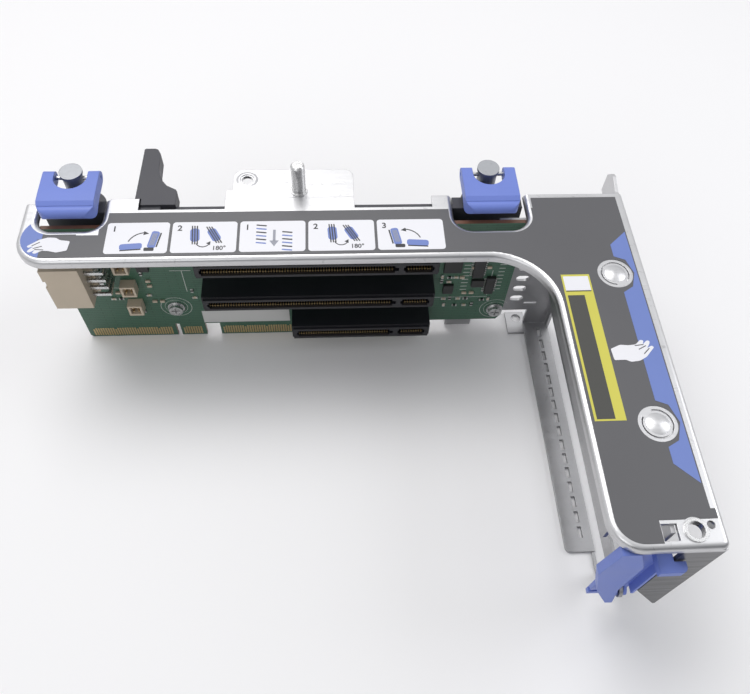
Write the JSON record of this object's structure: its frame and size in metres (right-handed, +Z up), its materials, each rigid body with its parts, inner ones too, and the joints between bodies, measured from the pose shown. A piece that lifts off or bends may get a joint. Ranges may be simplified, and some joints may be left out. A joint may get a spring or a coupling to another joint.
{
  "type": "riser cage bracket",
  "caption": "L-shaped sheet steel riser cage top carrying an upright riser board with card slots, an open wall for card brackets, half-turn latches with fold-up handles and a bracket lever.",
  "frame": {"origin": "centre of the locating hole in the foot, at the underside of the foot flange", "axes": "+X from the free end of the long arm towards the corner, +Y away from the card bay, +Z up from the card edge to the sheet"},
  "size_m": [0.2156, 0.1627, 0.0816],
  "materials": {
    "sheet_steel": "bright zinc-plated sheet, satin",
    "inner_steel": "zinc-plated sheet, satin grey",
    "turned_steel": "turned, satin",
    "carrier_plastic": "moulded, fine matt",
    "board_laminate": "glass laminate with green solder mask",
    "gold_plate": "thin gold plating",
    "slot_plastic": "moulded, matt",
    "beige_plastic": "moulded, matt natural",
    "chip_black": "matt moulded",
    "paper_white": "satin paper label",
    "latch_plastic": "moulded blue, fine matt",
    "label_film": "printed film, satin grey",
    "label_ink_blue": "printed ink",
    "label_ink_white": "printed ink",
    "sticker_ink_yellow": "printed ink",
    "sticker_ink_dark": "printed ink",
    "latch_grey": "fine cast, satin grey"
  },
  "bodies": {
    "cage": {"top_plate": "sheet_steel", "bracket_wall": "inner_steel", "guide_pin": "turned_steel", "ring_bushing": "turned_steel", "rear_carrier": "carrier_plastic", "board_standoffs": "turned_steel", "riser_board": "board_laminate", "edge_contacts": "gold_plate", "upper_slot": "slot_plastic", "middle_slot": "slot_plastic", "lower_slot": "slot_plastic", "slot_contacts": "gold_plate", "power_connector": "beige_plastic", "power_pins": "turned_steel", "signal_headers": "beige_plastic", "header_pins": "gold_plate", "board_chips": "chip_black", "board_parts": "beige_plastic", "board_screws": "turned_steel", "screw_washers": "turned_steel", "board_tag": "paper_white", "board_foot": "inner_steel", "left_spring": "turned_steel", "right_spring": "turned_steel", "lever_pin": "turned_steel", "plate_label": "label_film", "label_blue": "label_ink_blue", "label_panels": "label_ink_white", "label_marks": "label_ink_blue", "label_hands": "label_ink_white", "sticker_yellow": "sticker_ink_yellow", "sticker_dark": "sticker_ink_dark"},
    "left_latch": {"left_shaft": "latch_grey", "left_clip": "turned_steel", "left_hinge_pin": "turned_steel"},
    "left_grip": {"left_handle": "latch_plastic"},
    "right_latch": {"right_shaft": "latch_grey", "right_clip": "turned_steel", "right_hinge_pin": "turned_steel"},
    "right_grip": {"right_handle": "latch_plastic"},
    "lever": {"bracket_lever": "latch_plastic"}
  },
  "joints": [
    {"name": "left_turn", "type": "hinge", "parent": "cage", "child": "left_latch", "pos_m": [-0.1712, 0.01355, 0.065], "axis": [0, 0, 1], "range_deg": [0, 180]},
    {"name": "left_flip", "type": "hinge", "parent": "left_latch", "child": "left_grip", "pos_m": [-0.1712, 0.01355, 0.0742], "axis": [-1, 0, 0], "range_deg": [0, 90]},
    {"name": "right_turn", "type": "hinge", "parent": "cage", "child": "right_latch", "pos_m": [-0.0228, 0.01355, 0.065], "axis": [0, 0, -1], "range_deg": [0, 180]},
    {"name": "right_flip", "type": "hinge", "parent": "right_latch", "child": "right_grip", "pos_m": [-0.0228, 0.01355, 0.0742], "axis": [-1, 0, 0], "range_deg": [0, 90]},
    {"name": "lever_swing", "type": "hinge", "parent": "cage", "child": "lever", "pos_m": [0.0111, -0.12185, 0.0174], "axis": [1, 0, 0], "range_deg": [0, 60]}
  ]
}
